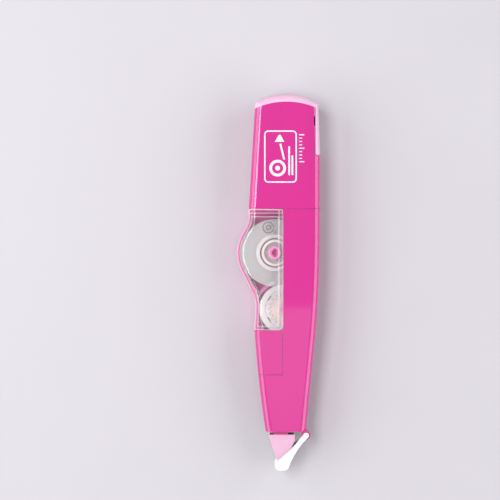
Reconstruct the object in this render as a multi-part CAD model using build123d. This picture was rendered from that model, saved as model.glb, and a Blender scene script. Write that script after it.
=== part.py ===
"""Refillable correction tape roller, lying flat on its back face.

Millimetres.  +Z is up, away from the back face, +Y points to the rear end and +X to the
clip side.  The origin is on the resting plane, below the axis of the tape roll.
"""
from build123d import *
from math import acos, atan, atan2, cos, degrees, hypot, radians, sin, sqrt, tan
import os

# ---- body ------------------------------------------------------------------------------------------------
thickness = 14.0          # front face to back face
split_z = thickness / 2   # the two body shells meet here
edge_radius = 2.2         # rounding of the long edges
body_right = 14.1         # clip side of the body
body_wall = 1.25
slide_gap = 0.15          # between pieces that slide past each other
seam = 0.1                # visible line between two pieces that close on each other
nose_y = -56.0            # blunt front end of the body
taper_start_y = -17.0     # both faces slope towards the nose from here
crease_reach = 2.0        # the crease where the slope starts is rounded this far to each side
nose_thickness = 9.5
nose_left_x = -2.95
nose_right_x = 10.0
nose_corner = 1.5         # cut corner beside the hinge
hip_y = 6.0               # the clip side starts to curve in here
flank_y = -30.5           # and runs straight to the nose from here
flank_inset = 1.8
grip_bow = 0.35           # outward bow of the left side between window and nose
waist_x = -6.0            # left side of the body just below the bulge
grip_top_x = -6.4
shoulder_round = 6.0      # where the left side swings out round the roll
waist_round = 7.0         # and where it comes back in
crown_rounds = (1.2, 0.6)

# ---- rear cap and clip -----------------------------------------------------------------------------------
cap_y = 13.7              # the cap ends here on the body
cap_left_x = -8.2
cap_wall = 1.2
cap_depth_y = 42.0        # blind end of the cap's hollow
cap_right_top = (13.6, 46.7)
cap_left_top = (-6.2, 47.2)
crown = (2.6, 49.7)       # highest point of the rear end
band_height = 2.6         # pale end band, measured along the tool
band_reach = 5.0          # the band's seam is an arc drawn this far past both sides
band_fall = (2.6, 2.3)    # and fallen this much further there
spigot_end_y = 36.0       # the body's tongue inside the cap
spigot_wall = 1.2
bulkhead = 1.3            # wall between the refill bay and the tongue
bulkhead_inset = 0.3      # under the skin of the body
clip_thickness = 1.5
clip_end_y = 31.2
clip_slit = (39.7, 42.6)  # open slit between clip and cap
clip_slit_width = 0.45
clip_slit_floor = 1.0

# ---- tape, reels and gears -------------------------------------------------------------------------------
tape_width = 4.2
film = 0.12               # tape with its backing
roll_radius = 10.6
roll_clearance = 0.4
core_outer = 5.8
core_inner = 4.65
takeup_at = (2.86, -17.65)
takeup_radius = 7.7
takeup_core_wall = 0.42
used_layers = 0.25        # used film already wound on
flange_thickness = 0.5
flange_rim = 5.95         # the flange's outer ring is full thickness from this radius
flange_step = 0.15
flange_slots = 5          # the same slits go through both flanges
flange_slot = (5.35, 5.8)
flange_slot_angle = 16.0
first_slot_at = 143.6
module = 0.5
tooth_root = 0.45         # half widening of a tooth at its root, and half narrowing
tooth_tip = 0.32          # at its tip, in modules
supply_teeth = 40
idler_teeth = 12
takeup_teeth = 18
backlash = 0.2
gear_gap = 0.3            # between the gears and the take-up reel's flange
shaft_fit = 0.05          # radial clearance of a gear or reel on its post
gear_holes = 5
gear_hole_radius = 1.6
supply_post = 1.8
takeup_post = 1.2
idler_post = 0.9
clutch_outer = 4.15
clutch_inner = 3.3
clutch_sink = 0.3         # the clutch ends this far below the top of the core
clutch_teeth = 40
clutch_nib = 0.2          # height of the clutch's fine teeth, on the ring and in the core
clutch_nib_width = 0.28
clutch_grip = 2.2         # height over which the ring holds the gear's hub
core_stand = 1.1          # the core's rim above the tape

# ---- refill case -----------------------------------------------------------------------------------------
case_wall = 0.85
window_right_x = 2.57     # the front shell covers the refill beyond this
window_bottom_y = -24.2
window_corner = 1.35
window_rim = 1.15
window_wall = 0.95
window_recess = 0.15      # clear face below the body's front face
rim_step = 0.2            # the clear rim on the right lies this much lower again
panel_bottom_y = -38.15
panel_seam_x = 2.35
guide_post_at = (-6.85, -12.15)
guide_post_radius = 1.0
post_dimple = (0.65, 0.35)   # moulding hollow over the guide post, radius and depth
lower_post_y = -27.0
lower_post_stand = 0.15   # its axis, inside the case's inner wall
lower_post_radius = 0.6
post_root = 0.2           # posts and bosses run this far into the wall that carries them
post_headroom = 0.9       # from a post's top to the clear ceiling
post_slot = (0.6, 2.4)    # cross slot in the supply post
post_slot_depth = 2.5
post_wall = 0.9
mouth_x = (-4.9, 8.2)     # opening at the foot of the case
socket_wall = 0.75
rib_gap = 1.2             # from the take-up flange to the curved rib beside it
rib_thickness = 0.3
rib_height = 0.5
rib_angles = (112, 158)
tape_lean = 28.0          # steepest slant of the fresh tape beside a guide post
boss_radius = 2.85
ring_mark_at = (-2.1, 7.9)
ring_mark_radius = 1.85
ring_mark_width = 0.3
ring_mark_height = 0.1
bulge_start = 150.0       # the case is round about the roll between these angles
bulge_end = 206.0

# ---- head and its cover ----------------------------------------------------------------------------------
neck_left_x = -0.4
neck_right_x = 4.1
neck_depth = tape_width + 1.2
neck_foot_start = 2.0     # the foot of the neck starts this far up inside the case
neck_overlap = 1.0        # and the neck runs this far into it
head_root = 2.0           # solid top of the head, above its hollow
foot_gap = 1.2            # from the neck's foot to the take-up flange
head_top_y = nose_y - 1.05
head_left_x = -2.07
head_right_x = 6.28
head_shoulder = 1.7       # straight part of the head's clip side
head_tip = (1.3, head_top_y - 8.65)
tip_half_width = 0.5
tip_rise = (0.3, 0.25)    # of the tip's left and right ends above its lowest point
belly = (0.75, 0.2)       # bow of the head's clip side below the shoulder
cheek = 0.75              # side plates of the head, either side of the tape
cheek_gap = 0.15
head_depth = tape_width + 2 * (cheek + cheek_gap)
blade_inset = 0.35        # blade edge below the cheeks' edge
blade_reach = 0.25        # blade past the cheeks at the tip
wrap_gap = 0.03           # between the blade and the tape round it
run_gap = 0.05            # between the tape and what it runs past
tenon = (2.0, 3.0, 2.8)   # neck's end inside the head
slot_depth = head_depth + 0.4   # opening in the nose that the neck slides through
slot_right_x = 6.9
hinge_at = (9.8, nose_y - 1.25)
hinge_boss_radius = 1.4
pin_radius = 0.35
pin_fit = 0.04
arm_thickness = 0.8
arm_gap = 0.1             # between the hinge boss and each arm
arm_eye = 0.6             # reach of the arm's round end along and across, from the pin
fin_start = 0.9           # the hinge's fin leaves the body's side this far above the nose
fin_inset = 0.1
cover_web = 0.9
cover_open = 2.65         # the cover is open between its arms this near the pin

FAR = 200.0               # beyond every side of the tool


# ---- shared shapes ---------------------------------------------------------------------------------------
def block(x, y, z):
    """Solid box between the given pairs of limits."""
    sizes = [pair[1] - pair[0] for pair in (x, y, z)]
    centre = [(pair[1] + pair[0]) / 2 for pair in (x, y, z)]
    return Pos(*centre) * Box(*sizes)


def rod(radius, z, at=(0, 0)):
    """Upright cylinder between two heights."""
    return Pos(at[0], at[1], z[0]) * extrude(Circle(radius), z[1] - z[0])


def tube(outer, inner, z, at=(0, 0)):
    return rod(outer, z, at) - rod(inner, z, at)


def prism(face, z):
    """Flat shape raised between two heights."""
    return Pos(0, 0, z[0]) * extrude(face, z[1] - z[0], dir=(0, 0, 1))


def on_circle(radius, angle, at=(0, 0)):
    return (at[0] + radius * cos(radians(angle)), at[1] + radius * sin(radians(angle)))


def bulge_radius():
    gear_tip = pitch_radius(supply_teeth) + addendum()
    return max(roll_radius, gear_tip) + roll_clearance + case_wall


def bulge_tangent_y(angle, x):
    """Height at which the tangent to the bulge at an angle crosses a given x."""
    return (bulge_radius() - x * cos(radians(angle))) / sin(radians(angle))


def tool_face():
    """Outline of the whole tool from the front, with the bulge round the tape roll."""
    radius = bulge_radius()
    shoulder = (cap_left_x, bulge_tangent_y(bulge_start, cap_left_x))
    waist = (waist_x, bulge_tangent_y(bulge_end, waist_x))
    grip_top = (grip_top_x, window_bottom_y)
    hip = (body_right, hip_y)
    flank = (body_right - flank_inset, flank_y)
    corner_top = (nose_right_x, nose_y + nose_corner)
    corner_end = (nose_right_x - nose_corner, nose_y)
    nose_left = (nose_left_x, nose_y)
    grip_middle = ((nose_left_x + grip_top_x) / 2 - grip_bow, (nose_y + window_bottom_y) / 2)
    edges = [
        ThreePointArc(cap_left_top, crown, cap_right_top),
        Line(cap_right_top, (body_right, clip_end_y)),
        Line((body_right, clip_end_y), hip),
        TangentArc(hip, flank, tangent=(0, -1)),
        Line(flank, corner_top),
        Line(corner_top, corner_end),
        Line(corner_end, nose_left),
        ThreePointArc(nose_left, grip_middle, grip_top),
        Line(grip_top, waist),
        Line(waist, on_circle(radius, bulge_end)),
        CenterArc((0, 0), radius, bulge_start, bulge_end - bulge_start),
        Line(on_circle(radius, bulge_start), shoulder),
        Line(shoulder, (cap_left_x, cap_y)),
        Line((cap_left_x, cap_y), cap_left_top),
    ]
    face = make_face(edges)
    rounds = (shoulder_round, waist_round) + crown_rounds
    for corner, rounding in zip((shoulder, waist, cap_left_top, cap_right_top), rounds):
        nearest = face.vertices().sort_by_distance((corner[0], corner[1], 0))[0]
        face = face.face().fillet_2d(rounding, [nearest])
    return face.face()


def nose_drop():
    return (thickness - nose_thickness) / 2


def slope_rise(y):
    """How far the sloping faces have moved in from the level ones at a given y."""
    return max(0.0, nose_drop() * (taper_start_y - y) / (taper_start_y - nose_y))


def side_face(low, high):
    """Side view: level from the rear end, then sloping on both faces to the nose."""
    drop = nose_drop()
    points = [
        (FAR, low), (taper_start_y, low), (nose_y, low + drop), (nose_y, high - drop),
        (taper_start_y, high), (FAR, high), (FAR, low),
    ]
    face = make_face(Polyline(*points))
    creases = [corner for corner in face.vertices() if abs(corner.X - taper_start_y) < seam]
    slope = atan(drop / (taper_start_y - nose_y))
    return Plane.YZ * face.face().fillet_2d(crease_reach / tan(slope / 2), creases)


def side_slab(low, high):
    """The side view between two heights, drawn out across the tool."""
    return extrude(side_face(low, high), FAR, both=True)


def tool_block(inset):
    """Solid of the tool's shape with every side moved in by the inset, with sharp edges."""
    outline = tool_face() if inset == 0 else offset(tool_face(), -inset, kind=Kind.INTERSECTION)
    return prism(outline, (0, thickness)) & side_slab(inset, thickness - inset)


def is_long_edge(edge):
    """Edge that runs along the tool between a flat face and a side."""
    middle = edge.position_at(0.5)
    upright = abs(edge.tangent_at(0.5).Z) > 0.5
    crease = abs(middle.Y - taper_start_y) < crease_reach + seam and abs(edge.tangent_at(0.5).X) > 0.99
    at_nose = middle.Y < nose_y + nose_corner
    at_crown = middle.Y > cap_right_top[1] - 1.0
    return not (upright or crease or at_nose or at_crown)


def rounded_tool():
    """The tool's outer shape, with its long edges rounded."""
    solid = tool_block(0).solid()
    return fillet([edge for edge in solid.edges() if is_long_edge(edge)], edge_radius)


def band(y_low, y_high):
    """Slice across the whole tool."""
    return block((-FAR, FAR), (y_low, y_high), (-FAR, FAR))


def upper(z):
    return block((-FAR, FAR), (-FAR, FAR), (z, FAR))


def lower(z):
    return block((-FAR, FAR), (-FAR, FAR), (-FAR, z))


# ---- rear cap with its clip ------------------------------------------------------------------------------
def crown_face():
    """Everything beyond the seam under the pale end band."""
    left = (cap_left_top[0] - band_reach, cap_left_top[1] - band_height - band_fall[0])
    right = (cap_right_top[0] + band_reach, cap_right_top[1] - band_height - band_fall[1])
    top = (crown[0], crown[1] - band_height)
    edges = [
        ThreePointArc(left, top, right),
        Line(right, (right[0], FAR)),
        Line((right[0], FAR), (left[0], FAR)),
        Line((left[0], FAR), left),
    ]
    return make_face(edges)


def clip_face(gap):
    """The clip strip along the side, with a rounded end, grown by a gap for its recess."""
    inner = body_right - clip_thickness - gap
    outer = body_right + 1.0
    end = clip_end_y
    radius = (body_right - inner) / 2
    edges = [
        Line((inner, cap_left_top[1]), (inner, end)),
        ThreePointArc((inner, end), (inner + radius, end - radius), (inner + 2 * radius, end)),
        Line((inner + 2 * radius, end), (outer, end)),
        Line((outer, end), (outer, cap_left_top[1])),
        Line((outer, cap_left_top[1]), (inner, cap_left_top[1])),
    ]
    return make_face(edges)


def make_clip_end(shape):
    end_band = shape & prism(crown_face(), (-1, thickness + 1))
    strip = shape & prism(clip_face(0), (-1, thickness + 1))
    return end_band + strip


def make_rear_cap(shape):
    cap = shape & band(cap_y + seam, FAR)
    cap -= prism(crown_face(), (-1, thickness + 1))
    cap -= prism(clip_face(slide_gap), (-1, thickness + 1))
    cap -= tool_block(cap_wall) & band(cap_y, clip_end_y - 2 * cap_wall)
    narrow = block((-FAR, body_right - clip_thickness - slide_gap - cap_wall), (0, cap_depth_y), (0, FAR))
    cap -= tool_block(cap_wall) & narrow & band(cap_y, cap_depth_y)
    slit_x = body_right - clip_thickness - clip_slit_width
    cap -= block((slit_x, body_right), clip_slit, (clip_slit_floor, FAR))
    return cap


# ---- body shells -----------------------------------------------------------------------------------------
def make_spigot():
    """Hollow tongue that the rear cap slides over, with the bulkhead at its root."""
    outside = cap_wall + slide_gap
    right = body_right - clip_thickness - slide_gap - cap_wall - slide_gap
    within = block((-FAR, right), (cap_y, spigot_end_y), (0, thickness))
    hollow = block((-FAR, right - spigot_wall), (cap_y, spigot_end_y - spigot_wall), (0, thickness))
    tongue = tool_block(outside) & within
    return tongue - (tool_block(outside + spigot_wall) & hollow)


def boss_half():
    """Half the length of the hinge boss, a little more than the head's depth."""
    return head_depth / 2 + 0.05


def hinge_fin():
    """Fin under the cut corner of the nose that carries the boss for the cover's pin."""
    x, y = hinge_at
    root = (nose_right_x - nose_corner, nose_y + nose_corner)
    top = (nose_right_x - fin_inset, nose_y + fin_start)
    right = (x + hinge_boss_radius, y)
    left = (x - hinge_boss_radius, y)
    face = make_face(Polyline(root, top, right, left, root)) + Pos(x, y) * Circle(hinge_boss_radius)
    return prism(face, (split_z - boss_half(), split_z + boss_half()))


def bay_cut():
    """Room for the refill: the window, the grip panel and the open left side."""
    corner = window_corner
    face = Rectangle(FAR, FAR, align=(Align.MAX, Align.MIN))
    face = Pos(window_right_x, window_bottom_y) * face
    bottom_right = face.vertices().sort_by_distance((window_right_x, window_bottom_y, 0))[0]
    face = face.face().fillet_2d(corner, [bottom_right])
    panel = Pos(panel_seam_x + seam, panel_bottom_y) * Rectangle(FAR, FAR, align=(Align.MAX, Align.MIN))
    window = prism(face, (body_wall, FAR)) & band(window_bottom_y, cap_y + seam)
    grip = prism(panel, (body_wall, FAR)) & band(panel_bottom_y, window_bottom_y)
    return window + grip


def make_shells(shape):
    """Front and back shell, split at mid thickness."""
    half_slot = slot_depth / 2
    room = tool_block(body_wall) & band(nose_y + body_wall, cap_y - bulkhead)
    shell = (shape & band(nose_y, cap_y)) - room
    shell -= bay_cut() & upper(split_z)
    open_side = block((-FAR, window_right_x), (panel_bottom_y, cap_y - bulkhead), (body_wall, split_z))
    shell -= open_side
    shell += make_bulkhead()
    slot_z = (split_z - half_slot, split_z + half_slot)
    shell -= block((-FAR, slot_right_x), (nose_y - 1, panel_bottom_y), slot_z)
    shell += make_spigot()
    shell += hinge_fin()
    shell -= rod(pin_radius, (0, thickness), hinge_at)
    return shell & upper(split_z), shell & lower(split_z)


def lip_z():
    """Underside of the clear lip that reaches over the bulkhead."""
    return thickness - body_wall - slide_gap - case_wall


def make_bulkhead():
    whole = tool_block(0) & band(cap_y - bulkhead, cap_y)
    under_lip = whole & block((-FAR, window_right_x), (-FAR, FAR), (0, lip_z() - slide_gap))
    inside = tool_block(body_wall) & whole & block((window_right_x, FAR), (-FAR, FAR), (0, thickness))
    return (under_lip & tool_block(bulkhead_inset)) + inside


def make_cover_pin():
    return rod(pin_radius, (split_z - arm_outer(), split_z + arm_outer()), hinge_at)


# ---- refill case -----------------------------------------------------------------------------------------
def refill_top_y():
    return cap_y - bulkhead - slide_gap


def case_outside(shape):
    """Outer shape of the clear case: flat under the shell, raised in the window."""
    under_shell = tool_block(body_wall + slide_gap) & band(panel_bottom_y + 2 * slide_gap, refill_top_y())
    lowered = Pos(0, 0, -window_recess) * shape
    right = window_right_x - slide_gap
    window = block((-FAR, right), (window_bottom_y + seam, cap_y - seam), (body_wall + slide_gap, FAR))
    corner = window.edges().filter_by(Axis.Z).sort_by_distance((right, window_bottom_y, thickness))[0]
    window = fillet(corner, window_corner)
    raised = lowered & window
    raised -= block((-FAR, FAR), (refill_top_y(), FAR), (-FAR, lip_z()))
    raised -= block((right - window_rim, FAR), (-FAR, cap_y), (thickness - window_recess - rim_step, FAR))
    return under_shell + raised


def window_ceiling():
    """Inner side of the clear window."""
    return thickness - window_recess - window_wall


def case_hollow():
    """Space inside the case."""
    inset = body_wall + slide_gap + case_wall
    low_y = panel_bottom_y + 2 * slide_gap + case_wall
    high_y = refill_top_y() - case_wall
    under_shell = tool_block(inset) & band(low_y, high_y)
    outline = offset(tool_face(), -case_wall, kind=Kind.INTERSECTION)
    top = window_ceiling()
    room = prism(outline, (inset, top)) & side_slab(inset, top)
    right = window_right_x - slide_gap - window_rim
    raised = room & block((-FAR, right), (window_bottom_y + window_rim, high_y), (0, thickness))
    return under_shell + raised


def case_mouth():
    """Opening at the foot of the case for the neck and both runs of tape."""
    low_y = panel_bottom_y + slide_gap
    z = (split_z - slot_depth / 2, split_z + slot_depth / 2)
    return block(mouth_x, (low_y, low_y + 2 * case_wall), z)


def post_floor():
    return body_wall + slide_gap + case_wall


def post_top():
    return window_ceiling() - post_headroom


def make_deck(hollow):
    """Raised floor of the case, level with the top of the gears, round their pockets."""
    deck = hollow & block((-FAR, FAR), (takeup_at[1] - takeup_radius, FAR), (0, gear_top()))
    for teeth, at in ((supply_teeth, (0, 0)), (idler_teeth, idler_at()), (takeup_teeth, takeup_at)):
        deck -= rod(pitch_radius(teeth) + addendum() + gear_gap, (0, thickness), at)
    return deck


def make_case_back(outside, hollow):
    case = (outside & lower(split_z)) - hollow - case_mouth()
    case += make_deck(hollow)
    root = post_floor() - post_root
    case += rod(supply_post, (root, post_top()))
    slot_z = (post_top() - post_slot_depth, thickness)
    width, length = post_slot
    case -= block((-width / 2, width / 2), (-length / 2, length / 2), slot_z)
    case -= rod(supply_post - post_wall, slot_z)
    case += rod(takeup_post, (root, lip_z() - post_headroom), takeup_at)
    case += rod(idler_post, (root, gear_top() + slide_gap), idler_at())
    for column in guide_posts((root, split_z)):
        case += column & outside
    return case


def make_case_front(outside, hollow):
    case = (outside & upper(split_z)) - hollow - case_mouth()
    ceiling = window_ceiling()
    face_z = ceiling + window_wall
    socket = tube(boss_radius, supply_post + shaft_fit, (core_top() + slide_gap, ceiling + post_root))
    takeup_bearing = tube(takeup_post + socket_wall, takeup_post + shaft_fit,
                          (flange_top() + gear_gap, lip_z()), takeup_at)
    arc_rib = prism(rib_face(), (ceiling - rib_height, ceiling + post_root))
    for feature in [socket, takeup_bearing, arc_rib] + guide_posts((split_z, ceiling)):
        case += feature & outside
    case -= rod(supply_post + shaft_fit, (0, post_top() + slide_gap))
    radius, depth = post_dimple
    case -= rod(radius, (face_z - depth, thickness), guide_post_at)
    ring_z = (ceiling + post_root, face_z + ring_mark_height)
    return case + tube(ring_mark_radius, ring_mark_radius - ring_mark_width, ring_z, ring_mark_at)


def guide_posts(z):
    """Columns in the case wall that steer the fresh tape to the head."""
    return [rod(guide_post_radius, z, guide_post_at), rod(lower_post_radius, z, lower_post_at())]


def lower_post_at():
    wall = body_wall + slide_gap + case_wall
    return (grip_top_x + wall + lower_post_stand, lower_post_y)


def rib_face():
    """Curved rib beside the take-up reel."""
    inner = takeup_radius + rib_gap
    return sector_ring(inner + rib_thickness, inner, *rib_angles, takeup_at)


def sector_ring(outer, inner, start, end, at):
    """Part of a flat ring between two angles."""
    edges = [
        CenterArc(at, outer, start, end - start),
        Line(on_circle(outer, end, at), on_circle(inner, end, at)),
        CenterArc(at, inner, start, end - start),
        Line(on_circle(inner, start, at), on_circle(outer, start, at)),
    ]
    return make_face(edges)


def make_grip_panel(shape):
    """Body-coloured panel of the refill, below the window."""
    y = (panel_bottom_y + seam, window_bottom_y)
    region = block((-FAR, panel_seam_x), y, (body_wall + slide_gap, FAR))
    return (shape & region) - tool_block(body_wall + slide_gap / 2)


# ---- gears and reels -------------------------------------------------------------------------------------
def gear_floor():
    """Underside of the gears, clear of the case floor where it starts to rise."""
    lowest_y = takeup_at[1] - pitch_radius(takeup_teeth) - addendum()
    return post_floor() + slide_gap + slope_rise(lowest_y)


def gear_top():
    return tape_z()[0] - slide_gap - flange_thickness - gear_gap


def tape_z():
    """Lower and upper edge of the tape, centred in the tool."""
    return (split_z - tape_width / 2, split_z + tape_width / 2)


def core_top():
    return tape_z()[1] + core_stand


def flange_top():
    return tape_z()[1] + slide_gap + flange_thickness


def pitch_radius(teeth):
    return module * teeth / 2


def addendum():
    """Height of a tooth above the pitch circle."""
    return 0.8 * module


def root_radius(teeth):
    return pitch_radius(teeth) - 1.2 * module


def idler_at():
    """The idler touches both gears, on the clip side of their centre line."""
    to_supply = pitch_radius(supply_teeth) + pitch_radius(idler_teeth)
    to_takeup = pitch_radius(takeup_teeth) + pitch_radius(idler_teeth)
    span = hypot(*takeup_at)
    along = (to_supply ** 2 - to_takeup ** 2 + span ** 2) / (2 * span)
    across = sqrt(to_supply ** 2 - along ** 2)
    ux, uy = takeup_at[0] / span, takeup_at[1] / span
    return (along * ux - across * uy, along * uy + across * ux)


def gear_face(teeth, phase, margin=0.0):
    """Spur gear outline with straight-sided teeth; one tooth points at the phase angle.

    A margin moves the whole outline out, for a toothed bore that fits over the gear.
    """
    radius = pitch_radius(teeth)
    pitch = 360.0 / teeth
    half_at_pitch = pitch / 4 - degrees(backlash / 2 / radius) / 2 + degrees(margin / radius)
    root, tip = root_radius(teeth) + margin, radius + addendum() + margin
    half_root = half_at_pitch + degrees(tooth_root * module / radius)
    half_tip = half_at_pitch - degrees(tooth_tip * module / radius)
    points = []
    for tooth in range(teeth):
        middle = phase + tooth * pitch
        points.append(on_circle(root, middle - half_root))
        points.append(on_circle(tip, middle - half_tip))
        points.append(on_circle(tip, middle + half_tip))
        points.append(on_circle(root, middle + half_root))
    return make_face(Polyline(*points, points[0]))


def gear_phases():
    """Tooth angles of the three gears, so that teeth meet gaps at rest."""
    idler = idler_at()
    to_idler = degrees(atan2(idler[1], idler[0]))
    to_takeup = degrees(atan2(takeup_at[1] - idler[1], takeup_at[0] - idler[0]))
    idler_pitch = 360.0 / idler_teeth
    takeup_pitch = 360.0 / takeup_teeth
    idler_phase = to_idler + 180 + idler_pitch / 2
    lag = ((to_takeup - idler_phase) / idler_pitch) % 1
    return to_idler, idler_phase, to_takeup + 180 + (lag - 0.5) * takeup_pitch


def clutch_top():
    return core_top() - clutch_sink


def make_supply_gear(phase):
    """Driven gear with its hub: the hub's upper part is thinner, above the clutch."""
    grip_top = gear_top() + clutch_grip
    disc = prism(gear_face(supply_teeth, phase), (gear_floor(), gear_top()))
    disc += rod(clutch_inner - run_gap, (gear_floor(), grip_top))
    disc += rod(boss_radius - slide_gap, (grip_top, clutch_top()))
    hole_circle = (clutch_inner + root_radius(supply_teeth)) / 2
    for hole in range(gear_holes):
        angle = (hole + 0.5) * 360 / gear_holes
        disc -= rod(gear_hole_radius, (0, gear_top()), on_circle(hole_circle, angle))
    return disc - rod(supply_post + shaft_fit, (0, thickness))


def clutch_nibs(inner, z, first):
    """Ring of fine teeth, from an inner radius outwards."""
    half = clutch_nib_width / 2
    nib = block((inner, inner + clutch_nib + run_gap), (-half, half), z)
    return [Rot(0, 0, (first + tooth) * 360 / clutch_teeth) * nib for tooth in range(clutch_teeth)]


def make_clutch_ring():
    """Slipping clutch: a ring of fine teeth inside the roll's core."""
    z = (gear_top() + run_gap, clutch_top())
    return tube(clutch_outer, clutch_inner, z) + clutch_nibs(clutch_outer - run_gap, z, 0)


def make_supply_core():
    z = (tape_z()[0] - slide_gap, core_top())
    nibs = clutch_nibs(core_inner - clutch_nib, (z[0], z[1] - slide_gap), 0.5)
    return tube(core_outer, core_inner, z) + nibs


def make_tape_roll():
    return tube(roll_radius, core_outer, tape_z())


def make_idler(phase):
    x, y = idler_at()
    gear = Pos(x, y) * prism(gear_face(idler_teeth, phase), (gear_floor(), gear_top()))
    return gear - rod(idler_post + shaft_fit, (0, thickness), idler_at())


def takeup_bore():
    """Bore of the take-up spool, over the tips of its long pinion."""
    return pitch_radius(takeup_teeth) + addendum() + 0.02


def make_takeup_gear(phase):
    """Long pinion: the lower end meshes with the idler, the rest drives the spool."""
    high = flange_top() - flange_step / 2
    gear = Pos(*takeup_at) * prism(gear_face(takeup_teeth, phase), (gear_floor(), high))
    return gear - rod(takeup_post + shaft_fit, (0, thickness), takeup_at)


def flange_slits(z):
    """Curved slits that go through both flanges of the take-up reel."""
    inner, outer = flange_slot
    first = first_slot_at - flange_slot_angle / 2
    starts = [first + slot * 360 / flange_slots for slot in range(flange_slots)]
    faces = [sector_ring(outer, inner, start, start + flange_slot_angle, takeup_at) for start in starts]
    return [prism(face, z) for face in faces]


def make_takeup_spool():
    low = tape_z()[0] - slide_gap
    flange_z = (low - flange_thickness, low)
    core = tube(takeup_bore() + takeup_core_wall, takeup_bore(), (low, tape_z()[1] + slide_gap), takeup_at)
    return core + (tube(takeup_radius, takeup_bore(), flange_z, takeup_at) - flange_slits(flange_z))


def make_takeup_flange(phase):
    """Front flange: its toothed bore sits over the long pinion, which drives it."""
    low = tape_z()[1] + slide_gap
    flange = rod(takeup_radius, (low, flange_top()), takeup_at)
    flange -= rod(flange_rim, (flange_top() - flange_step, flange_top()), takeup_at)
    flange -= Pos(*takeup_at) * prism(gear_face(takeup_teeth, phase, run_gap), (low, flange_top()))
    return flange - flange_slits((low, flange_top()))


def used_radius():
    return takeup_bore() + takeup_core_wall + used_layers


def make_used_film():
    return tube(used_radius(), takeup_bore() + takeup_core_wall, tape_z(), takeup_at)


# ---- head, neck and tape ---------------------------------------------------------------------------------
def head_face():
    """Wedge that presses the tape on the paper."""
    left_top = (head_left_x, head_top_y)
    right_top = (head_right_x, head_top_y)
    shoulder = (head_right_x, head_top_y - head_shoulder)
    tip_left = (head_tip[0] - tip_half_width, head_tip[1] + tip_rise[0])
    tip_right = (head_tip[0] + tip_half_width, head_tip[1] + tip_rise[1])
    bowed = ((shoulder[0] + tip_right[0]) / 2 + belly[0], (shoulder[1] + tip_right[1]) / 2 + belly[1])
    edges = [
        Line(left_top, right_top),
        Line(right_top, shoulder),
        ThreePointArc(shoulder, bowed, tip_right),
        ThreePointArc(tip_right, head_tip, tip_left),
        Line(tip_left, left_top),
    ]
    return make_face(edges)


def blade_face():
    """Middle of the head, a little narrower than its cheeks and longer at the tip."""
    return Pos(0, -blade_inset - blade_reach) * offset(head_face(), -blade_inset, kind=Kind.INTERSECTION)


def make_head():
    half = head_depth / 2
    blade = prism(blade_face(), (split_z - half, split_z + half))
    outer = prism(head_face(), (split_z - half, split_z + half))
    middle = block((-FAR, FAR), (-FAR, FAR), (split_z - half + cheek, split_z + half - cheek))
    root_y = (head_top_y - head_root, head_top_y)
    root = block((neck_left_x, neck_right_x), root_y, (split_z - half, split_z + half))
    head = (outer - middle) + (blade & middle) + root
    return head - tongue(run_gap)


def tongue(gap):
    """Tenon of the neck inside the head."""
    width, length, depth = tenon
    middle = (neck_left_x + neck_right_x) / 2
    x = (middle - width / 2 - gap, middle + width / 2 + gap)
    z = (split_z - depth / 2 - gap, split_z + depth / 2 + gap)
    return block(x, (head_top_y - length - gap, head_top_y), z)


def make_head_holder(hollow):
    """Neck that carries the head, with its foot clamped between the case halves."""
    x = (neck_left_x, neck_right_x)
    foot_low = panel_bottom_y + neck_foot_start
    foot = hollow & block(x, (foot_low, takeup_at[1] - takeup_radius - foot_gap), (0, thickness))
    z = (split_z - neck_depth / 2, split_z + neck_depth / 2)
    neck = block(x, (head_top_y, foot_low + neck_overlap), z)
    return foot + neck + tongue(0)


def tangent_point(centre, radius, point, side):
    """Where a line from a point touches a circle, on its left (-1) or right (+1) side."""
    dx, dy = point[0] - centre[0], point[1] - centre[1]
    spread = degrees(acos(radius / hypot(dx, dy)))
    return on_circle(radius, degrees(atan2(dy, dx)) + side * spread, centre)


def head_wrap():
    """Tape round the blade, open at the top of the head."""
    blade = blade_face()
    outer = offset(blade, film + wrap_gap, kind=Kind.INTERSECTION)
    wrap = outer - offset(blade, wrap_gap, kind=Kind.INTERSECTION)
    return wrap & below(blade.bounding_box().max.Y - film)


def below(y):
    """Everything on the nose side of a line across the tool."""
    return Pos(0, y) * Rectangle(FAR, FAR, align=(Align.CENTER, Align.MAX))


def half_plane(right):
    align = (Align.MIN if right else Align.MAX, Align.CENTER)
    return Pos(head_tip[0], 0) * Rectangle(FAR, FAR, align=align)


def make_fresh_run():
    """Fresh tape from the roll, past the guide post, down to the tip."""
    wrap = head_wrap() & half_plane(False)
    start_y = wrap.bounding_box().max.Y
    corner = (wrap.bounding_box().min.X + film / 2, start_y - 0.02)
    beside = film / 2 + run_gap
    lean = cos(radians(tape_lean))
    post_side = (guide_post_at[0] + (guide_post_radius + beside) / lean, guide_post_at[1])
    lower_side = (lower_post_at()[0] + (lower_post_radius + beside) / lean, lower_post_y)
    roll = tangent_point((0, 0), roll_radius + beside, post_side, -1)
    run = trace(Polyline(roll, post_side, lower_side, corner), film)
    return prism(run + wrap, tape_z())


def make_return_run():
    """Used film from the tip back up to the take-up reel."""
    wrap = head_wrap() & half_plane(True)
    start_y = wrap.bounding_box().max.Y
    corner = (wrap.bounding_box().max.X - film / 2, start_y - 0.02)
    reel = tangent_point(takeup_at, used_radius() + film / 2 + run_gap, corner, 1)
    run = trace(Polyline(corner, reel), film)
    return prism(run + wrap, tape_z())


# ---- head cover ------------------------------------------------------------------------------------------
def arm_inner():
    return boss_half() + arm_gap


def arm_outer():
    return arm_inner() + arm_thickness


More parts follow.
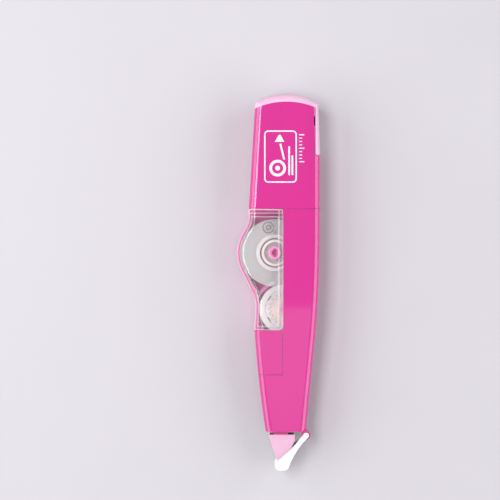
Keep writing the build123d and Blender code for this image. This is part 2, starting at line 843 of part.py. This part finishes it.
def cover_face():
    """Side of the swinging cover, from its hinge to the tip."""
    x, y = hinge_at
    upper_end = (x - arm_eye, y + arm_eye)
    lower_end = (x + arm_eye, y - arm_eye)
    toe_back = (x - 9.3, y - 8.2)
    toe_left = (x - 8.75, y - 10.95)
    toe_right = (x - 6.6, y - 10.95)
    toe_front = (x - 5.35, y - 9.65)
    edges = [
        ThreePointArc(lower_end, (x + arm_eye, y + arm_eye), upper_end),
        ThreePointArc(upper_end, (x - 5.1, y - 4.65), toe_back),
        ThreePointArc(toe_back, (x - 9.72, y - 9.8), toe_left),
        Line(toe_left, toe_right),
        ThreePointArc(toe_right, (x - 5.8, y - 10.5), toe_front),
        ThreePointArc(toe_front, (x - 2.7, y - 4.5), lower_end),
    ]
    return make_face(edges)


def make_head_cover():
    side = cover_face()
    shifted = Pos(-cover_web * 0.75, cover_web * 0.85) * side
    web_part = (side - shifted) & below(hinge_at[1] - cover_open)
    cover = prism(web_part, (split_z - arm_outer(), split_z + arm_outer()))
    cover += prism(side, (split_z - arm_outer(), split_z - arm_inner()))
    cover += prism(side, (split_z + arm_inner(), split_z + arm_outer()))
    return cover - rod(pin_radius + pin_fit, (0, thickness), hinge_at)


# ---- the assembly ----------------------------------------------------------------------------------------
def build():
    shape = rounded_tool()
    front_shell, back_shell = make_shells(shape)
    outside = case_outside(shape)
    hollow = case_hollow()
    supply_phase, idler_phase, takeup_phase = gear_phases()
    return {
        "front_shell": front_shell,
        "back_shell": back_shell,
        "cover_pin": make_cover_pin(),
        "rear_cap": make_rear_cap(shape),
        "clip_end": make_clip_end(shape),
        "case_front": make_case_front(outside, hollow),
        "case_back": make_case_back(outside, hollow),
        "grip_panel": make_grip_panel(shape),
        "head_holder": make_head_holder(hollow),
        "head": make_head(),
        "tape_fresh_run": make_fresh_run(),
        "tape_return_run": make_return_run(),
        "supply_gear": make_supply_gear(supply_phase),
        "clutch_ring": make_clutch_ring(),
        "supply_core": make_supply_core(),
        "tape_roll": make_tape_roll(),
        "idler_gear": make_idler(idler_phase),
        "takeup_gear": make_takeup_gear(takeup_phase),
        "takeup_spool": make_takeup_spool(),
        "takeup_flange": make_takeup_flange(takeup_phase),
        "used_film": make_used_film(),
        "head_cover": make_head_cover(),
    }


os.makedirs("parts", exist_ok=True)
for name, solid in build().items():
    export_step(solid, f"parts/{name}.step")
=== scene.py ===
"""Looks of the correction tape roller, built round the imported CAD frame."""
import math

import bmesh
import bpy
from mathutils import Matrix, Vector


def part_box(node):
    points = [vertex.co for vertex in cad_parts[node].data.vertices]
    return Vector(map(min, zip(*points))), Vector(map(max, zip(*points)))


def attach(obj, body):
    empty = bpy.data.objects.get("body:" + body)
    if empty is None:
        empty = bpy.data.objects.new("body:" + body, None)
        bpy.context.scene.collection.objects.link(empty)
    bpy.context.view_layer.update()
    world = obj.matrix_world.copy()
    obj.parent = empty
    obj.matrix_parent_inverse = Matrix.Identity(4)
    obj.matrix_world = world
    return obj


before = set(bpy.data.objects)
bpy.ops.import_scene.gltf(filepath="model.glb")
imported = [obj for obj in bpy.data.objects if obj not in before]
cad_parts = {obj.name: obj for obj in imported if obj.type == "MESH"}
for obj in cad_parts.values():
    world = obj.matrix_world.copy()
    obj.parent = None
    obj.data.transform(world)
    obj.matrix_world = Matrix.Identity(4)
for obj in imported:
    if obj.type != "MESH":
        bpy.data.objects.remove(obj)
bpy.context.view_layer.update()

MM = 0.001


# ---- node helpers ----------------------------------------------------------------------------------------
def new_material(name):
    """Empty material and its tree."""
    material = bpy.data.materials.new(name)
    material.use_nodes = True
    material.node_tree.nodes.clear()
    return material, material.node_tree


def add(tree, kind, inputs=None, **settings):
    """New node with some of its settings and inputs given; an input may be a value or a socket."""
    node = tree.nodes.new(kind)
    for key, value in settings.items():
        setattr(node, key, value)
    for key, value in (inputs or {}).items():
        if isinstance(value, bpy.types.NodeSocket):
            tree.links.new(value, node.inputs[key])
        else:
            node.inputs[key].default_value = value
    return node


def position(tree, stretch=(1.0, 1.0, 1.0)):
    """Place on the piece, in metres, in the shared frame."""
    coords = add(tree, "ShaderNodeTexCoord")
    mapping = add(tree, "ShaderNodeMapping", {"Vector": coords.outputs["Object"], "Scale": stretch})
    return mapping.outputs["Vector"]


def noise(tree, scale, detail=3.0, stretch=(1.0, 1.0, 1.0)):
    """Noise from 0 to 1; scale is in features a metre."""
    inputs = {"Vector": position(tree, stretch), "Scale": scale, "Detail": detail}
    return add(tree, "ShaderNodeTexNoise", inputs).outputs["Fac"]


def remap(tree, value, low, high, to_low, to_high):
    """Value moved from one range to another, and held at its ends."""
    inputs = {"Value": value, "From Min": low, "From Max": high, "To Min": to_low, "To Max": to_high}
    return add(tree, "ShaderNodeMapRange", inputs).outputs["Result"]


def math_node(tree, operation, a, b=0.0):
    return add(tree, "ShaderNodeMath", {0: a, 1: b}, operation=operation).outputs[0]


def mix_colour(tree, factor, a, b):
    node = add(tree, "ShaderNodeMix", data_type="RGBA")
    for socket, value in (("Factor", factor), ("A", a), ("B", b)):
        target = [s for s in node.inputs if s.name == socket and s.enabled][0]
        if isinstance(value, bpy.types.NodeSocket):
            tree.links.new(value, target)
        else:
            target.default_value = value
    return [s for s in node.outputs if s.enabled][0]


FLAT_COSINE = 0.99         # between the true and the rounded normal, where a face starts to round
ROUND_COSINE = 0.86        # and where it is all edge


def edge_mask(tree, radius):
    """1 on the rounded edges of the piece and 0 on its faces, with the rounded normal."""
    rounded = add(tree, "ShaderNodeBevel", {"Radius": radius}, samples=6).outputs["Normal"]
    true = add(tree, "ShaderNodeNewGeometry").outputs["Normal"]
    dot = add(tree, "ShaderNodeVectorMath", {0: rounded, 1: true}, operation="DOT_PRODUCT")
    return remap(tree, dot.outputs["Value"], FLAT_COSINE, ROUND_COSINE, 0.0, 1.0), rounded


def rgba(colour, factor=1.0):
    return tuple(min(1.0, c * factor) for c in colour) + (1.0,)


def finish(tree, shader):
    """Ends a material's tree with its surface."""
    output = add(tree, "ShaderNodeOutputMaterial")
    tree.links.new(shader.outputs[0], output.inputs["Surface"])


# ---- materials -------------------------------------------------------------------------------------------
MOULD_GRAIN = 0.02 * MM
MOULD_EDGE = 0.15 * MM     # rounding of a moulded edge
COAT_ROUGHNESS = 0.09
STYRENE_IOR = 1.5
SCATTER = (2.0 * MM, 1.2 * MM, 1.5 * MM)


def moulded_plastic(name, colour, roughness=0.22, coat=0.0, subsurface=0.0):
    """Injection-moulded plastic: faint flow marks, fine grain, rubbed edges and hair scratches."""
    material, tree = new_material(name)
    flow = noise(tree, 60, 2.0, (1.0, 0.25, 1.0))
    speckle = noise(tree, 2600, 2.0)
    scratches = noise(tree, 900, 4.0, (1.0, 0.03, 1.0))
    mask, rounded = edge_mask(tree, MOULD_EDGE)
    clouds = remap(tree, flow, 0.3, 0.7, 0.0, 1.0)
    specks = remap(tree, speckle, 0.66, 0.80, 0.0, 0.10)
    rubbed = math_node(tree, "MULTIPLY", mask, 0.22)
    rubbed_colour = [channel * 0.6 + 0.4 for channel in colour]
    tone = mix_colour(tree, clouds, rgba(colour, 0.97), rgba(colour, 1.03))
    tone = mix_colour(tree, specks, tone, rgba(colour, 1.35))
    tone = mix_colour(tree, rubbed, tone, rgba(rubbed_colour))
    rough = remap(tree, scratches, 0.62, 0.74, roughness, roughness + 0.10)
    rough = math_node(tree, "ADD", rough, math_node(tree, "MULTIPLY", mask, 0.06))
    fine = math_node(tree, "MULTIPLY", speckle, 0.4)
    height = math_node(tree, "ADD", fine, math_node(tree, "MULTIPLY", flow, 3.0))
    bump = add(tree, "ShaderNodeBump", {
        "Height": height, "Distance": MOULD_GRAIN, "Strength": 0.35, "Normal": rounded,
    })
    shader = add(tree, "ShaderNodeBsdfPrincipled", {
        "Base Color": tone, "Roughness": rough, "Normal": bump.outputs["Normal"],
        "IOR": STYRENE_IOR, "Coat Weight": coat, "Coat Roughness": COAT_ROUGHNESS,
        "Subsurface Weight": subsurface, "Subsurface Radius": SCATTER, "Subsurface Scale": 1.0,
    })
    finish(tree, shader)
    return material


CLEAR_EDGE = 0.16 * MM     # rounding of the window's edges
CLEAR_GLINT_BAND = 0.9 * MM      # width of the paler band along them, a painted highlight
CLEAR_RIPPLE = 0.03 * MM


def clear_plastic(name, pale, deep, edge_glint_tone, density, rim_sheen):
    """Thin clear styrene: see-through from the front, pale and milky where seen edge on or at an edge,
    which is painted reflection and painted highlight.

    Density is how much of its own colour shows face on, and rim how much of the pale painted
    reflection shows edge on. Its moulded edges take the edge tone, a painted pink highlight. The mirror
    share depends only on how edge on a face is, so that the inner faces stay as clear as the outer ones.
    """
    material, tree = new_material(name)
    ripple = noise(tree, 240, 2.0, (1.0, 0.5, 1.0))
    edges, rounded = edge_mask(tree, CLEAR_EDGE)
    bump = add(tree, "ShaderNodeBump", {
        "Height": ripple, "Distance": CLEAR_RIPPLE, "Strength": 0.5, "Normal": rounded,
    })
    normal = bump.outputs["Normal"]
    facing = add(tree, "ShaderNodeLayerWeight", {"Blend": 0.30, "Normal": normal}).outputs["Facing"]
    # moulded edges take a pink tone, a painted highlight
    tone = mix_colour(tree, edges, mix_colour(tree, ripple, rgba(deep), rgba(pale)), rgba(edge_glint_tone))
    body = add(tree, "ShaderNodeBsdfPrincipled", {
        "Base Color": tone,
        "Roughness": remap(tree, ripple, 0.3, 0.7, 0.05, 0.10), "Normal": normal,
        "IOR": STYRENE_IOR,
    })
    clear = add(tree, "ShaderNodeBsdfTransparent", {"Color": (0.99, 0.98, 0.985, 1)})
    gloss = add(tree, "ShaderNodeBsdfGlossy", {
        "Color": (1, 1, 1, 1), "Roughness": 0.05, "Normal": normal,
    })
    mirror = remap(tree, facing, 0.30, 0.80, 0.04, 0.60)
    shiny = add(tree, "ShaderNodeMixShader", {0: mirror, 1: clear.outputs[0], 2: gloss.outputs[0]})
    # pale milky share edge on and along the edges is painted reflection and highlight; face on it is the
    # plastic's own faint tint
    haze_and_sheen = remap(tree, facing, 0.20, 0.85, density, rim_sheen)
    haze_and_sheen = math_node(tree, "MAXIMUM", haze_and_sheen, math_node(tree, "MULTIPLY", edges, 0.65))
    band = edge_mask(tree, CLEAR_GLINT_BAND)[0]
    haze_and_sheen = math_node(tree, "MAXIMUM", haze_and_sheen, math_node(tree, "MULTIPLY", band, 0.60))
    finish(tree, add(tree, "ShaderNodeMixShader", {0: haze_and_sheen, 1: shiny.outputs[0], 2: body.outputs[0]}))
    return material


def wound_tape(name, colour, centre, pitch):
    """Side of a wound roll: fine rings of its many turns, with a few uneven ones."""
    material, tree = new_material(name)
    place = position(tree)
    offset = add(tree, "ShaderNodeVectorMath", {0: place, 1: centre}, operation="SUBTRACT")
    sideways = {0: offset.outputs["Vector"], 1: (1, 1, 0)}
    flat = add(tree, "ShaderNodeVectorMath", sideways, operation="MULTIPLY")
    length = add(tree, "ShaderNodeVectorMath", {0: flat.outputs["Vector"]}, operation="LENGTH")
    radius = length.outputs["Value"]
    turns = math_node(tree, "SINE", math_node(tree, "MULTIPLY", radius, 2 * math.pi / pitch))
    rings = {"W": radius, "Scale": 2600, "Detail": 2.0}
    bands = add(tree, "ShaderNodeTexNoise", rings, noise_dimensions="1D")
    uneven = remap(tree, bands.outputs["Fac"], 0.3, 0.7, 0.0, 1.0)
    dust = noise(tree, 1500, 3.0)
    tone = mix_colour(tree, uneven, rgba(colour, 0.93), rgba(colour, 1.05))
    tone = mix_colour(tree, remap(tree, dust, 0.62, 0.75, 0.0, 0.25), tone, rgba(colour, 1.18))
    height = math_node(tree, "ADD", turns, math_node(tree, "MULTIPLY", uneven, 1.5))
    bump = add(tree, "ShaderNodeBump", {"Height": height, "Distance": 0.01 * MM, "Strength": 0.4})
    shader = add(tree, "ShaderNodeBsdfPrincipled", {
        "Base Color": tone, "Roughness": remap(tree, dust, 0.3, 0.7, 0.42, 0.58),
        "Normal": bump.outputs["Normal"], "IOR": 1.45,
    })
    finish(tree, shader)
    return material


def printing_ink(name):
    """Pad-printed white ink, slightly thin in places."""
    material, tree = new_material(name)
    thin = noise(tree, 1400, 3.0)
    worn = remap(tree, thin, 0.45, 0.75, 0.0, 1.0)
    shader = add(tree, "ShaderNodeBsdfPrincipled", {
        "Base Color": mix_colour(tree, worn, (0.74, 0.69, 0.72, 1), (0.70, 0.50, 0.61, 1)),
        "Roughness": remap(tree, thin, 0.3, 0.7, 0.30, 0.42), "IOR": 1.45,
    })
    finish(tree, shader)
    return material


def floor_material():
    """Pale matt card."""
    material, tree = new_material("floor_card")
    fibre = noise(tree, 35, 4.0)
    shader = add(tree, "ShaderNodeBsdfPrincipled", {
        "Base Color": mix_colour(tree, fibre, (0.475, 0.455, 0.49, 1), (0.505, 0.485, 0.52, 1)),
        "Roughness": remap(tree, fibre, 0.3, 0.7, 0.55, 0.65),
    })
    finish(tree, shader)
    return material


TAPE_PITCH = 0.09 * MM     # spacing of the rings that show on a wound roll
FILM_PITCH = 0.06 * MM

PINK = (0.515, 0.018, 0.215)
PALE_PINK = (0.67, 0.42, 0.57)
HEAD_PINK = (0.62, 0.37, 0.51)
WHITE = (0.70, 0.68, 0.68)
CREAM = (0.84, 0.78, 0.73)
PEACH = (0.73, 0.63, 0.57)
TAPE_GREY = (0.465, 0.465, 0.465)
COVER_WHITE = (0.80, 0.775, 0.80)
LILAC = (0.62, 0.44, 0.55)
CASE_PINK = (0.88, 0.12, 0.47)
COATING = (0.82, 0.82, 0.81)
FILM = (0.66, 0.65, 0.63)


def dress_cad_nodes():
    """Gives each CAD node its finish."""
    roll_low, roll_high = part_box("tape_roll")
    reel_low, reel_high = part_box("used_film")
    pink = moulded_plastic("pink_plastic", PINK, roughness=0.15, coat=0.6)
    # the edge tone and the rim share of the clear styrene are painted highlight and painted reflection
    clear = clear_plastic(
        "clear_styrene", pale=(0.95, 0.89, 0.93), deep=(0.90, 0.82, 0.87),
        edge_glint_tone=(0.84, 0.56, 0.68), density=0.02, rim_sheen=0.88,
    )
    white = moulded_plastic("white_plastic", WHITE, roughness=0.32)
    cream = moulded_plastic("cream_plastic", CREAM, roughness=0.35)
    peach = moulded_plastic("peach_plastic", PEACH, roughness=0.35)
    cover = moulded_plastic("cover_plastic", COVER_WHITE, roughness=0.30, subsurface=0.1)
    looks = {
        "front_shell": pink,
        "back_shell": pink,
        "rear_cap": pink,
        "grip_panel": pink,
        "head_holder": pink,
        "clip_end": moulded_plastic("pale_pink_plastic", PALE_PINK, roughness=0.28, subsurface=0.1),
        "head": moulded_plastic("head_plastic", HEAD_PINK, roughness=0.33, subsurface=0.15),
        "head_cover": cover,
        "cover_pin": cover,
        "case_front": clear,
        "case_back": moulded_plastic("case_pink_plastic", CASE_PINK, roughness=0.25),
        "supply_core": white,
        "takeup_spool": white,
        "takeup_flange": white,
        "supply_gear": moulded_plastic("lilac_plastic", LILAC, roughness=0.3),
        "clutch_ring": cream,
        "idler_gear": cream,
        "takeup_gear": peach,
        "tape_roll": wound_tape("wound_tape", TAPE_GREY, (roll_low + roll_high) / 2, TAPE_PITCH),
        "used_film": wound_tape("wound_film", FILM, (reel_low + reel_high) / 2, FILM_PITCH),
        "tape_fresh_run": moulded_plastic("tape_coating", COATING, roughness=0.6),
        "tape_return_run": moulded_plastic("backing_film", FILM, roughness=0.25),
    }
    for name, material in looks.items():
        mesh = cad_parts[name].data
        mesh.materials.clear()
        mesh.materials.append(material)


# ---- printed mark ----------------------------------------------------------------------------------------
INK_THICKNESS = 0.01 * MM
INK_SUNK = 0.7            # share of the ink's thickness that lies below the surface it is printed on


def mesh_piece(name, build, material, body):
    """Mesh made by a function that fills a bmesh, in the shared frame."""
    bm = bmesh.new()
    build(bm)
    mesh = bpy.data.meshes.new(name)
    bm.to_mesh(mesh)
    bm.free()
    mesh.materials.append(material)
    piece = bpy.data.objects.new(name, mesh)
    bpy.context.scene.collection.objects.link(piece)
    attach(piece, body)
    return piece


def rounded_rectangle(width, height, radius, steps=8):
    """Corner points of a rounded rectangle about the origin, anticlockwise."""
    points = []
    for quarter, (sx, sy) in enumerate(((1, 1), (-1, 1), (-1, -1), (1, -1))):
        for step in range(steps + 1):
            angle = math.pi / 2 * (quarter + step / steps)
            x = sx * (width / 2 - radius) + radius * math.cos(angle)
            y = sy * (height / 2 - radius) + radius * math.sin(angle)
            points.append((x, y))
    return points


def circle_points(radius, steps=48):
    angles = [2 * math.pi * i / steps for i in range(steps)]
    return [(radius * math.cos(angle), radius * math.sin(angle)) for angle in angles]


def add_plate(bm, outline, at, z):
    """Thin solid plate with the given outline."""
    faces = []
    for height in (z, z + INK_THICKNESS):
        verts = [bm.verts.new((at[0] + x, at[1] + y, height)) for x, y in outline]
        faces.append(verts)
    count = len(outline)
    bm.faces.new(list(reversed(faces[0])))
    bm.faces.new(faces[1])
    for i in range(count):
        j = (i + 1) % count
        bm.faces.new((faces[0][i], faces[0][j], faces[1][j], faces[1][i]))


def add_band(bm, outer, inner, at, z):
    """Thin solid ring between two outlines with the same number of points."""
    loops = []
    top = z + INK_THICKNESS
    for outline, height in ((outer, z), (inner, z), (inner, top), (outer, top)):
        loops.append([bm.verts.new((at[0] + x, at[1] + y, height)) for x, y in outline])
    count = len(outer)
    for side in range(4):
        a, b = loops[side], loops[(side + 1) % 4]
        for i in range(count):
            j = (i + 1) % count
            bm.faces.new((a[i], b[i], b[j], a[j]))


MARK_AT = Vector((1.7 * MM, 30.0 * MM))        # middle of the cap's mark
FRAME_SIZE = (10.2 * MM, 16.3 * MM)
FRAME_CORNER = 1.3 * MM
FRAME_LINE = 0.42 * MM
REEL_AT = MARK_AT + Vector((-0.9 * MM, -3.6 * MM))
REEL_RING = (2.6 * MM, 1.75 * MM)
REEL_HUB = 0.75 * MM
RIBBON = ((1.75, 2.7), (2.35, 2.7), (1.15, 7.6), (0.55, 7.6))      # mm, from the reel's middle
WEDGE = ((-0.9, 8.2), (2.1, 8.2), (0.9, 10.4), (0.4, 10.4))
BAR_LENGTHS = (9.0 * MM, 6.2 * MM)
BAR_WIDTH = 0.55 * MM
BAR_CORNER = 0.27 * MM
BARS_FROM = Vector((2.7 * MM, -5.8 * MM))      # foot of the first bar, from the mark's middle
BAR_PITCH = 1.0 * MM
TICKS = 9
LONG_TICK_EVERY = 4
LONG_TICK = 1.7 * MM
SHORT_TICK = 1.0 * MM
TICK_WIDTH = 0.3 * MM
TICK_CORNER = 0.14 * MM
TICKS_FROM = Vector((5.75 * MM, -1.6 * MM))    # root of the first tick, from the mark's middle
TICK_PITCH = 1.05 * MM


def add_frame(bm, z):
    width, height = FRAME_SIZE
    outer = rounded_rectangle(width, height, FRAME_CORNER)
    inner = rounded_rectangle(width - 2 * FRAME_LINE, height - 2 * FRAME_LINE, FRAME_CORNER - FRAME_LINE)
    add_band(bm, outer, inner, MARK_AT, z)


def add_reel(bm, z):
    """Reel with its hub, and a ribbon that runs off it to a wedge."""
    add_band(bm, circle_points(REEL_RING[0]), circle_points(REEL_RING[1]), REEL_AT, z)
    add_plate(bm, circle_points(REEL_HUB, steps=32), REEL_AT, z)
    for outline in (RIBBON, WEDGE):
        add_plate(bm, [(x * MM, y * MM) for x, y in outline], REEL_AT, z)


def add_bars(bm, z):
    for row, length in enumerate(BAR_LENGTHS):
        bar = rounded_rectangle(BAR_WIDTH, length, BAR_CORNER)
        add_plate(bm, bar, MARK_AT + BARS_FROM + Vector((row * BAR_PITCH, length / 2)), z)


def add_ticks(bm, z):
    for tick in range(TICKS):
        length = SHORT_TICK if tick % LONG_TICK_EVERY else LONG_TICK
        bar = rounded_rectangle(length, TICK_WIDTH, TICK_CORNER)
        add_plate(bm, bar, MARK_AT + TICKS_FROM + Vector((length / 2, tick * TICK_PITCH)), z)


def print_cap_mark():
    """Plain pictogram of a tape reel in a rounded frame, with a row of scale ticks beside it."""
    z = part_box("rear_cap")[1].z - INK_SUNK * INK_THICKNESS

    def build(bm):
        for add_part in (add_frame, add_reel, add_bars, add_ticks):
            add_part(bm, z)

    mesh_piece("cap_print", build, printing_ink("white_ink"), "rear_cap")


CASE_MARK_AT = Vector((-2.1 * MM, 7.9 * MM))
CASE_MARK_RINGS = ((1.85 * MM, 1.50 * MM), (0.80 * MM, 0.50 * MM))
# dark grey of the ring mark is painted shade, not the colour of the plastic
RING_SHADE_GREY = (0.16, 0.14, 0.15)


def draw_case_mark():
    """Matt dark grey ring on the clear window, with a small ring inside it: the moulded ring mark, its dark
    grey a painted shade of the mark's moulded edges.
    """
    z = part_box("case_front")[1].z - INK_SUNK * INK_THICKNESS

    def build(bm):
        for outer, inner in CASE_MARK_RINGS:
            add_band(bm, circle_points(outer), circle_points(inner), CASE_MARK_AT, z)

    grey = moulded_plastic("painted_ring_shade", RING_SHADE_GREY, roughness=0.6)
    mesh_piece("case_mark", build, grey, "refill")


# ---- floor, lights, camera -------------------------------------------------------------------------------
FLOOR_HALF = 1.5           # metres
FLOOR_GAP = 0.05 * MM      # the floor lies this far below the tool
WORLD_STRENGTH = 0.31
SOFTBOXES = (
    # name, place, size across and along the tool, radiance
    ("key_strip", (-0.22, 0.09, 0.65), (0.21, 0.42), 9.4),
    ("left_box", (-0.62, 0.0, 0.36), (0.62, 1.0), 2.75),
    ("right_box", (0.62, 0.0, 0.38), (0.64, 1.0), 2.65),
    ("nose_box", (0.0, -0.20, 1.0), (0.6, 0.19), 0.8),
)
LENS = 120.0               # mm
SENSOR = 36.0              # mm
FIELD = 157.0 * MM         # width seen at the height of focus
FOCUS_HEIGHT = 0.7         # share of the cap's height
VIEW_AT = (-7.8 * MM, 0.9 * MM)


def make_floor():
    """Plain floor under the tool, which is staging and not part of it."""
    bm = bmesh.new()
    bmesh.ops.create_grid(bm, x_segments=1, y_segments=1, size=FLOOR_HALF)
    mesh = bpy.data.meshes.new("floor")
    bm.to_mesh(mesh)
    bm.free()
    mesh.materials.append(floor_material())
    floor = bpy.data.objects.new("floor", mesh)
    floor.location.z = -FLOOR_GAP
    bpy.context.scene.collection.objects.link(floor)


def softbox(name, at, size, radiance):
    """Soft light that looks at the middle of the tool, its second side along the tool."""
    light = bpy.data.lights.new(name, "AREA")
    light.shape = "RECTANGLE"
    light.size, light.size_y = size
    light.energy = radiance * math.pi * size[0] * size[1]
    lamp = bpy.data.objects.new(name, light)
    back = Vector(at).normalized()
    across = Vector((0, 1, 0)).cross(back).normalized()
    lamp.location = at
    lamp.rotation_euler = Matrix((across, back.cross(across), back)).transposed().to_euler()
    bpy.context.scene.collection.objects.link(lamp)


def make_lights():
    """Even sky, a bright strip for the long highlight and soft boxes round the tool."""
    world = bpy.data.worlds.new("studio")
    world.use_nodes = True
    background = world.node_tree.nodes["Background"]
    background.inputs["Color"].default_value = (1.0, 0.99, 1.0, 1.0)
    background.inputs["Strength"].default_value = WORLD_STRENGTH
    bpy.context.scene.world = world
    for name, place, size, radiance in SOFTBOXES:
        softbox(name, place, size, radiance)


def make_camera():
    """Long lens, looking straight down."""
    camera = bpy.data.cameras.new("camera")
    camera.lens = LENS
    camera.sensor_width = SENSOR
    eye = bpy.data.objects.new("camera", camera)
    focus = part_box("rear_cap")[1].z * FOCUS_HEIGHT
    eye.location = (*VIEW_AT, focus + FIELD * LENS / SENSOR)
    bpy.context.scene.collection.objects.link(eye)
    bpy.context.scene.camera = eye


bpy.context.scene.view_settings.view_transform = "Standard"
dress_cad_nodes()
print_cap_mark()
draw_case_mark()
make_floor()
make_lights()
make_camera()
